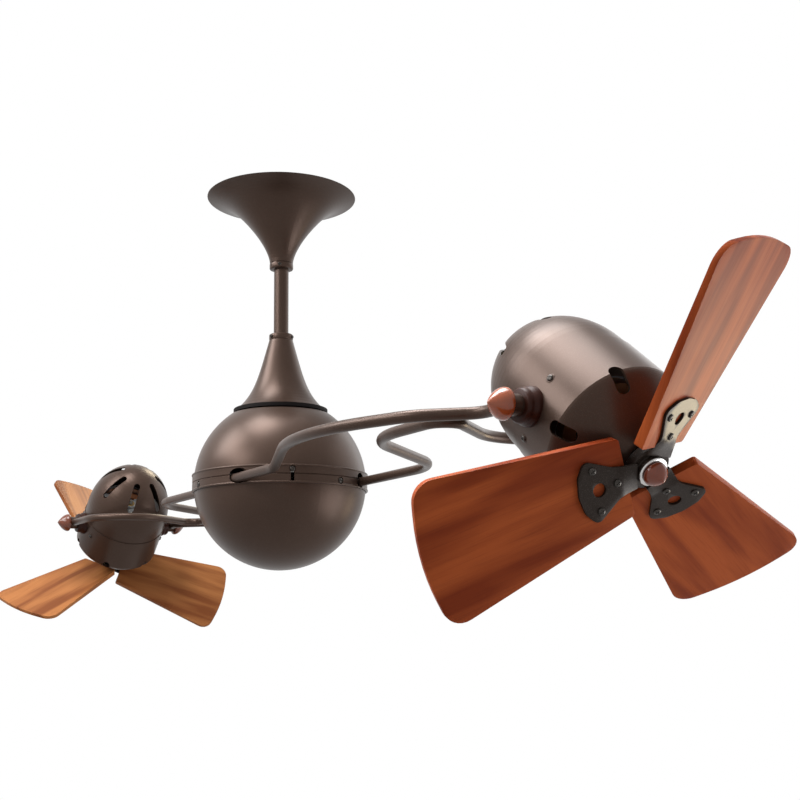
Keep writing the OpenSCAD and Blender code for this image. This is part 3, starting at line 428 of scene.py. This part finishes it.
def slit(piece, size, place):
    """Cuts a square slit of a given size about a place."""
    clear_bench()
    bpy.ops.mesh.primitive_cube_add(size=1)
    sized = Matrix.Diagonal([edge * MM for edge in size]).to_4x4()
    cut_away(piece, bpy.context.active_object, place @ sized)


def copy_to(pattern, name, place):
    """A copy of a piece with its own mesh, put in its place."""
    twin = pattern.copy()
    twin.data = pattern.data.copy()
    twin.name = name
    bpy.context.scene.collection.objects.link(twin)
    twin.data.transform(place)
    return twin


def put_away(*patterns):
    """Takes patterns and cutters off the bench once they are used."""
    for pattern in patterns:
        bpy.data.objects.remove(pattern)


def fit(piece, body, slot, *nodes, look=None):
    """Gives a piece its body, its material slot and the CAD nodes that it stands for. Its finish is the
    slot's, or a look of its own."""
    piece.data.materials.clear()
    piece.data.materials.append(LOOKS[look or slot])
    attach(piece, body)
    if nodes:
        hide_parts(*nodes)


# ---- Blades and their irons ----

BLADES = 3                          # on each fan
FAN_FRONT = 85.3                    # from the pivots to the middle of the blades
PITCH = 20.0                        # by which each blade is turned about its own length
BLADE_ROOT = 21.8                   # from the fan's axis, as are the next two
BLADE_TIP = 194.5
BLADE_PEAK = BLADE_TIP + 12         # the top of the tip's crown
ROOT_HALF = 33.5                    # half the width at the root
TIP_HALF = 63.0
ROOT_THICK = 8.5
TIP_THICK = 4.5
BLADE_FACE = 3.0                    # the face that carries the iron, above the blade's own middle
BLADE_EASE = 0.9                    # rounding of its edges
# Places along a blade, half its width there, and the radius of the corner.
BLADE_OUTLINE = [(BLADE_ROOT, ROOT_HALF, 3), (BLADE_TIP, TIP_HALF, 17), (BLADE_PEAK, 0, 200)]
# Where each blade was sawn from its plank, along and across it in metres, so that no two look alike.
PLANK_CUTS = {
    "right": ((0.0, 0.0), (0.37, 0.29), (0.74, 0.58)),
    "left": ((0.0, 0.9), (0.37, 1.19), (0.74, 1.48))}

BOSS_R = 13.0                       # of the hub's raised middle
IRON_THICK = 2.5
IRON_REACH = 67.0                   # from the fan's axis
IRON_EASE = 0.5                     # rounding of its edges
NECK_HALF = 12.5                    # half the width of its neck
NECK_FLAT = 18.0                    # it lies flat on the hub up to here
NECK_END = 31.0                     # and has turned to the blade's pitch from here
WINDOW_R = 5.75
WINDOW_AT = IRON_REACH - 18.5
# Places along an iron, half its width there, and the radius of the corner.
IRON_OUTLINE = [
    (BOSS_R + 0.3, NECK_HALF, 0.5),                 # the neck, clear of the boss
    (IRON_REACH - 36, NECK_HALF, 20),               # where it starts to widen
    (IRON_REACH - 11, 27.5, 6),                     # the head at its widest
    (IRON_REACH - 2.5, 15.4, 12),                   # its shoulder
    (IRON_REACH, 0, 20)]                            # and the middle of its end
# The screws' places along an iron and across it.
SCREW_PLACES = [(IRON_REACH - 16, 17.5), (IRON_REACH - 16, -17.5), (IRON_REACH - 35, 0)]
BLADE_SCREW = (3.2, 1.7)            # radius and height of its head


def blade_place(side, number):
    """A blade's own frame: X along it, Z out of the face that carries its iron."""
    about_axis = turn(BLADE_TURN[side] + number * 360 / BLADES)
    return head_place(side) @ about_axis @ shift(0, 0, FAN_FRONT) @ turn(PITCH, "X")


def lay_grain(piece, along, across):
    """Unwraps a blade flat, with U along it, so that the grain runs from its root to its tip."""
    layer = piece.data.uv_layers.new(name="grain")
    for loop in piece.data.loops:
        place = piece.data.vertices[loop.vertex_index].co
        layer.data[loop.index].uv = (place.x + along, place.y + place.z + across)


def make_blade():
    """A paddle of solid wood, thick at its root, with a crowned tip and eased edges."""
    piece = plate("blade", rounded_side(BLADE_OUTLINE), rows=8)
    thicken(piece, ROOT_THICK)
    for vertex in piece.data.vertices:
        share = (vertex.co.x / MM - BLADE_ROOT) / (BLADE_PEAK - BLADE_ROOT)
        if vertex.co.z < 0:
            vertex.co.z = -(ROOT_THICK + (TIP_THICK - ROOT_THICK) * share) * MM
        vertex.co.z += BLADE_FACE * MM
    soften_edges(piece, BLADE_EASE)
    bpy.ops.object.shade_smooth_by_angle(angle=math.radians(PLATE_SMOOTH))
    return piece


def make_iron():
    """A pressed steel plate: a neck that lies on the hub and twists to the blade's pitch, and a wide
    head with a round window."""
    piece = plate("iron", rounded_side(IRON_OUTLINE))
    thicken(piece, IRON_THICK)
    bored(piece, WINDOW_R, shift(WINDOW_AT, 0, 0))
    soften_edges(piece, IRON_EASE, segments=2)
    for vertex in piece.data.vertices:
        share = min(1, max(0, (NECK_END - vertex.co.x / MM) / (NECK_END - NECK_FLAT)))
        eased = share * share * (3 - 2 * share)
        vertex.co.z += (BLADE_FACE + IRON_THICK) * MM
        vertex.co = turn(-PITCH * eased, "X") @ vertex.co
    bpy.ops.object.shade_smooth_by_angle(angle=math.radians(PLATE_SMOOTH))
    return piece


# A pan head's profile and its cross recess, in shares of its radius and of its height.
HEAD_FOOT = ((0.9, -0.4), (1.0, 0.1))       # these heights are in millimetres
HEAD_DOME = ((1.0, 0.35), (0.93, 0.66), (0.74, 0.9), (0.45, 1.0))
RECESS_LONG = 1.3
RECESS_WIDE = 0.28
RECESS_DEEP = 0.9
RECESS_TURN = 20


def make_screw(radius, height):
    """A pan head with a cross recess, seated at Z = 0."""
    foot = [(radius * share, z) for share, z in HEAD_FOOT]
    dome = [(radius * share, height * rise) for share, rise in HEAD_DOME]
    piece = turned("screw", foot + dome, sides=20)
    for angle in (RECESS_TURN, RECESS_TURN + 90):
        slit(piece, (radius * RECESS_LONG, radius * RECESS_WIDE, height * RECESS_DEEP),
             shift(0, 0, height) @ turn(angle))
    return piece


def fit_blades():
    """Each fan's blades with their irons, and the screws that hold them together."""
    blade = make_blade()
    iron = make_iron()
    screw = make_screw(*BLADE_SCREW)
    for side in SIDES:
        body = side + "_fan"
        for number in range(BLADES):
            place = blade_place(side, number)
            wood = copy_to(blade, f"{side}_blade_{number + 1}", Matrix())
            lay_grain(wood, *PLANK_CUTS[side][number])
            wood.data.transform(place)
            fit(wood, body, "blade_wood", side + "_blades", look=side + "_blade_wood")
            fit(copy_to(iron, f"{side}_iron_{number + 1}", place), body, "iron_paint", side + "_blade_irons")
            for count, (x, y) in enumerate(SCREW_PLACES):
                seat = place @ shift(x, y, BLADE_FACE + IRON_THICK)
                fit(copy_to(screw, f"{side}_blade_screw_{number + 1}_{count + 1}", seat),
                    body, "black_steel", side + "_blade_screws")
    put_away(blade, iron, screw)


# ---- Hubs, finials and knobs ----

SHAFT_R = 4.0
HUB_R = 19.0
HUB_BACK = 78.0                     # heights on the shaft, from the pivots
HUB_SEAT = 88.0
BOSS_TOP = 92.5
WASHER = 1.2                        # thickness of the finial's washer
HUB_PROFILE = [
    (SHAFT_R, HUB_BACK), (HUB_R - 2, HUB_BACK), (HUB_R, HUB_BACK + 2),          # back with its chamfer
    (HUB_R, HUB_SEAT - 1), (HUB_R - 1, HUB_SEAT),                               # rim and the irons' seat
    (BOSS_R + 0.6, HUB_SEAT), (BOSS_R, HUB_SEAT + 0.6),                         # fillet under the boss
    (BOSS_R, BOSS_TOP - 0.8), (BOSS_R - 0.8, BOSS_TOP), (SHAFT_R, BOSS_TOP)]    # boss with its eased edge
WASHER_PROFILE = [
    (SHAFT_R, BOSS_TOP), (BOSS_R - 0.2, BOSS_TOP), (BOSS_R + 0.1, BOSS_TOP + 0.3),
    (BOSS_R - 0.2, BOSS_TOP + 0.9), (BOSS_R - 0.9, BOSS_TOP + WASHER), (SHAFT_R, BOSS_TOP + WASHER)]
FINIAL_R = 10.8
FINIAL_LONG = 15.0
FINIAL_BORE = FINIAL_LONG / 2

# An acorn's shape, in shares of its radius and of its length.
FOOT_EDGE = ((0.86, 0.0), (0.93, 0.5))      # the rounded edge of its foot, with heights in millimetres
FULL_AT = 0.12                              # it is widest here
FOOT_SWELL = 0.94                           # and this wide at its foot
TAPER = 0.9                                 # power of the curve that draws it in to its tip
ACORN_TIP = 0.25                            # radius of the tip


def acorn(radius, length, bore_radius, bore_depth, lift=0.0, steps=18):
    """An acorn's outline with a blind bore: full near its foot, drawn in to a small pointed tip."""
    points = [(bore_radius, bore_depth), (bore_radius, lift)]
    points += [(radius * share, lift + z) for share, z in FOOT_EDGE]
    for i in range(1, steps):
        t = i / steps
        if t < FULL_AT:
            swell = FOOT_SWELL + (1 - FOOT_SWELL) * t / FULL_AT
        else:
            swell = math.cos(math.pi / 2 * (t - FULL_AT) / (1 - FULL_AT)) ** TAPER
        points.append((radius * swell, lift + (length - lift) * t))
    points.append((ACORN_TIP, length))
    return points


def fit_hubs():
    """The hub with its boss, a polished washer on it and the turned finial."""
    hub = turned("hub", HUB_PROFILE, ring=True)
    washer = turned("washer", WASHER_PROFILE, ring=True)
    finial = turned("finial", acorn(FINIAL_R, FINIAL_LONG, SHAFT_R, FINIAL_BORE, WASHER))
    for side in SIDES:
        place = head_place(side)
        body = side + "_fan"
        fit(copy_to(hub, side + "_hub", place), body, "iron_paint", side + "_blade_hub")
        fit(copy_to(washer, side + "_finial_washer", place), body, "bare_steel", look="polished_steel")
        fit(copy_to(finial, side + "_turned_finial", place @ shift(0, 0, BOSS_TOP)),
            body, "glossy_wood", side + "_finial")
    put_away(hub, washer, finial)


CUP_R = 66.4                        # of the motor's casing
STUD_R = 3.0                        # of the pivots' studs
SPACER_BORE = STUD_R + 0.1
SPACER_FACE = 78.2                  # distances from the shaft along the pivots
EYE_FACE = 89.8
SPACER_PROFILE = [
    (SPACER_BORE, CUP_R - 5), (17.4, CUP_R - 5), (17.4, CUP_R + 1.5),           # foot, let into the casing
    (16.9, CUP_R + 3.6), (15.6, CUP_R + 5.4), (15.2, CUP_R + 6.4),              # bead, drawn in to the waist
    (15.4, CUP_R + 8), (15.0, SPACER_FACE - 1.8), (14.0, SPACER_FACE - 0.4),    # collar and its rounded edge
    (13.2, SPACER_FACE), (SPACER_BORE, SPACER_FACE)]                            # face against the arm's eye
KNOB_R = 14.0
KNOB_LONG = 19.5
KNOB_BORE = KNOB_LONG * 0.6


def fit_pivots():
    """The turned spacer between the head and each arm's eye, and the acorn knob outside it."""
    spacer = turned("spacer", SPACER_PROFILE, ring=True)
    knob = turned("knob", acorn(KNOB_R, KNOB_LONG, STUD_R, KNOB_BORE))
    for side in SIDES:
        body = side + "_head"
        for name, facing in (("near", 90), ("far", -90)):
            outward = head_place(side) @ turn(facing, "X")
            fit(copy_to(spacer, f"{side}_{name}_spacer", outward), body, "dark_wood",
                side + "_pivot_spacers")
            fit(copy_to(knob, f"{side}_{name}_knob", outward @ shift(0, 0, EYE_FACE)), body,
                "glossy_wood", side + "_pivot_knobs", look=side + "_knob_wood")
    put_away(spacer, knob)


# ---- Small screws ----

CASE_SCREW = (3.0, 1.8)                     # radius and height of its head
CASE_SCREW_ANGLES = (64, 116, 244, 296)     # round the casing
CASE_SCREW_AT = 2.5                         # in front of the pivots
CASE_WASHER_PROFILE = [(3.1, -0.3), (4.1, -0.3), (4.1, 0.1), (3.8, 0.35), (3.1, 0.35)]


def fit_case_screws():
    """The screws that hold the halves of each head's casing, on thin washers."""
    screw = make_screw(*CASE_SCREW)
    washer = turned("ring", CASE_WASHER_PROFILE, sides=24, ring=True)
    for side in SIDES:
        body = side + "_head"
        for count, angle in enumerate(CASE_SCREW_ANGLES):
            place = head_place(side) @ turn(angle) @ shift(CUP_R, 0, CASE_SCREW_AT) @ turn(90, "Y")
            fit(copy_to(screw, f"{side}_case_screw_{count + 1}", place), body, "black_steel",
                side + "_case_screws")
            fit(copy_to(washer, f"{side}_case_washer_{count + 1}", place), body, "bronze_paint")
    put_away(screw, washer)


BELT_R = 110.3                                              # the band round the sphere
BELT_H = 22.4
BELT_SCREW = (3.0, 1.5)                                     # radius and height of its head
BELT_SCREW_SEAT = BELT_R - 0.9
BELT_SCREW_PLACES = ((14.6, -1), (89.0, -1), (-19.0, 1))    # angle round the belt, and lower or upper rim


def fit_belt_screws():
    """The screws that hold the belt's rims, each seated in its bore, and the same again half a turn on."""
    screw = make_screw(*BELT_SCREW)
    middle = Matrix.Translation(Vector(JOINTS["carousel_turn"]["pos_m"]))
    for facing in (0, 180):
        for count, (angle, rim) in enumerate(BELT_SCREW_PLACES):
            seat = shift(BELT_SCREW_SEAT, 0, rim * BELT_H / 4)
            place = middle @ turn(angle + facing) @ seat @ turn(90, "Y")
            fit(copy_to(screw, f"belt_screw_{facing}_{count + 1}", place), "carousel", "black_steel",
                "belt_screws")
    put_away(screw)


# ---- Collars on the drop rod ----

ROD_R = 9.5
COLLAR_R = 15.4
COLLAR_H = 8.2
COLLAR_PROFILE = [
    (ROD_R, 0), (COLLAR_R - 1.4, 0), (COLLAR_R - 0.4, 0.5), (COLLAR_R, 1.5),    # foot with its eased edge
    (COLLAR_R, COLLAR_H - 1.5), (COLLAR_R - 0.4, COLLAR_H - 0.5),               # and the same at its top
    (COLLAR_R - 1.4, COLLAR_H), (ROD_R, COLLAR_H)]
COLLAR_SCREW = (2.2, 1.5)                               # radius and height of its head
COLLAR_SCREWS = 3                                       # in each collar
FIRST_SCREW = {"upper": -35, "lower": -79}              # its angle round the rod
SCREW_SEAT = {"upper": COLLAR_R - 0.7, "lower": COLLAR_R + 0.2}


def fit_collars():
    """Two turned collars with eased edges, and their locking screws."""
    low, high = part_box("rod_collars")
    ring = turned("collar", COLLAR_PROFILE, sides=64, ring=True)
    screw = make_screw(*COLLAR_SCREW)
    heights = {"upper": high.z / MM - COLLAR_H, "lower": low.z / MM}
    for name, height in heights.items():
        fit(copy_to(ring, name + "_collar", shift(0, 0, height)), "hanger", "bronze_paint", "rod_collars")
        for count in range(COLLAR_SCREWS):
            about_rod = turn(FIRST_SCREW[name] + count * 360 / COLLAR_SCREWS)
            place = about_rod @ shift(SCREW_SEAT[name], 0, height + COLLAR_H / 2) @ turn(90, "Y")
            fit(copy_to(screw, f"{name}_collar_screw_{count + 1}", place), "hanger", "black_steel",
                "collar_screws")
    put_away(ring, screw)


fit_blades()
fit_hubs()
fit_pivots()
fit_case_screws()
fit_belt_screws()
fit_collars()


# ---- Floor and surroundings ----

FLOOR_SIZE = 9.0                    # metres
FLOOR_LEVEL = -2.5                  # metres, from the ceiling
FLOOR_COLOUR = (0.82, 0.82, 0.82, 1)
FLOOR_ROUGHNESS = 0.9
FLOOR_GLOW = 0.8                    # the part of the floor's look that is plain white
WHITE = (1, 1, 1, 1)
SOFT_WHITE = (1.0, 0.99, 0.98, 1)
SOFT_STRENGTH = 0.44                # of the light that the surroundings give


def seen_ray(tree):
    """1 for what is seen directly, in a reflection or through something, and 0 for the light it gives."""
    path = add(tree, "ShaderNodeLightPath")
    direct = reckon(tree, "MAXIMUM", path.outputs["Is Camera Ray"], path.outputs["Is Glossy Ray"])
    return reckon(tree, "MAXIMUM", direct, path.outputs["Is Transmission Ray"])


def lay_floor():
    """A pale floor at room height below the fan, which keeps a part of the fan's shadow."""
    clear_bench()
    bpy.ops.mesh.primitive_plane_add(size=FLOOR_SIZE, location=(0, 0, FLOOR_LEVEL))
    floor = bpy.context.active_object
    floor.name = "pale_floor"
    material, tree, shader = new_material("pale_floor")
    feed(tree, shader, {"Base Color": FLOOR_COLOUR, "Roughness": FLOOR_ROUGHNESS})
    glow = add(tree, "ShaderNodeEmission")
    paler = add(tree, "ShaderNodeMixShader", {
        "Fac": reckon(tree, "MULTIPLY", seen_ray(tree), FLOOR_GLOW),
        1: shader.outputs["BSDF"], 2: glow.outputs["Emission"]})
    feed(tree, tree.nodes["Material Output"], {"Surface": paler.outputs["Shader"]})
    floor.data.materials.append(material)


def surround():
    """Surroundings that look white and give a softer light."""
    world = bpy.data.worlds.new("studio")
    bpy.context.scene.world = world
    world.use_nodes = True
    tree = world.node_tree
    tree.nodes.clear()
    soft = add(tree, "ShaderNodeBackground", {"Color": SOFT_WHITE, "Strength": SOFT_STRENGTH})
    white = add(tree, "ShaderNodeBackground", {"Color": WHITE, "Strength": 1.0})
    pick = add(tree, "ShaderNodeMixShader", {
        "Fac": seen_ray(tree), 1: soft.outputs["Background"], 2: white.outputs["Background"]})
    add(tree, "ShaderNodeOutputWorld", {"Surface": pick.outputs["Shader"]})


lay_floor()
surround()


# ---- Lights ----

WIDE = 140                          # spread of a plain softbox
PLAIN = (1.0, 1.0, 1.0)
# Each lamp's place and what it faces in metres, its width and height, its watts, its spread and its tint.
LAMPS = {
    "top_light": ((0.0, -0.5, 1.1), (0.1, 0.0, -0.38), (0.8, 0.66), 17.5, WIDE, PLAIN),
    "head_light": ((0.34, -0.02, 0.62), (0.54, 0.0, -0.38), (0.8, 0.7), 2.4, 50, PLAIN),
    "left_card": ((-0.45, -1.15, 0.64), (0.05, 0.0, -0.4), (0.9, 0.8), 6.4, 80, PLAIN),
    "front_card": ((0.3, -2.0, 0.6), (0.2, 0.0, -0.4), (0.9, 0.7), 7.0, 110, PLAIN),
    "window_light": ((0.1, 1.9, 0.5), (0.0, 0.0, -0.35), (2.6, 1.1), 7.5, WIDE, PLAIN),
    "side_card": ((1.15, 1.3, -1.0), (0.6, 0.0, -0.4), (1.1, 0.9), 9.0, WIDE, PLAIN),
    "far_card": ((-1.05, 0.71, 0.47), (-0.7, 0.0, -0.36), (0.45, 0.4), 0.62, 44, (1.0, 0.9, 0.66)),
    "glare_card": ((0.4, 1.75, -0.85), (0.7, 0.0, -0.38), (0.7, 0.6), 0.7, 44, (1.0, 0.84, 0.56)),
}


def softbox(name, place, target, size, power, spread, tint):
    """A soft rectangular lamp that faces its target."""
    lamp = bpy.data.lights.new(name, "AREA")
    lamp.color = tint
    lamp.shape = "RECTANGLE"
    lamp.size, lamp.size_y = size
    lamp.energy = power
    lamp.spread = math.radians(spread)
    holder = bpy.data.objects.new(name, lamp)
    bpy.context.scene.collection.objects.link(holder)
    holder.location = place
    aim = Vector(target) - Vector(place)
    holder.rotation_euler = aim.to_track_quat("-Z", "Y").to_euler()


for name, row in LAMPS.items():
    softbox(name, *row)


# ---- Camera ----

# Where the photo was taken from, in metres, with its line of sight and the way to its right.
EYE = Vector((1.35458, -0.67443, -0.56329))
SIGHT = Vector((-0.83020, 0.52453, 0.18877))
RIGHTWARD = Vector((0.53177, 0.84677, -0.01420))
LENS = 53.64                        # focal length
SENSOR = 36.0                       # width


def place_camera():
    """The camera at the angle of the photo."""
    lens = bpy.data.cameras.new("camera")
    lens.lens = LENS
    lens.sensor_width = SENSOR
    camera = bpy.data.objects.new("camera", lens)
    bpy.context.scene.collection.objects.link(camera)
    upward = RIGHTWARD.cross(SIGHT).normalized()
    facing = Matrix((RIGHTWARD, upward, -SIGHT)).transposed().to_4x4()
    camera.matrix_world = Matrix.Translation(EYE) @ facing
    bpy.context.scene.camera = camera


place_camera()
bpy.context.scene.view_settings.view_transform = "Standard"
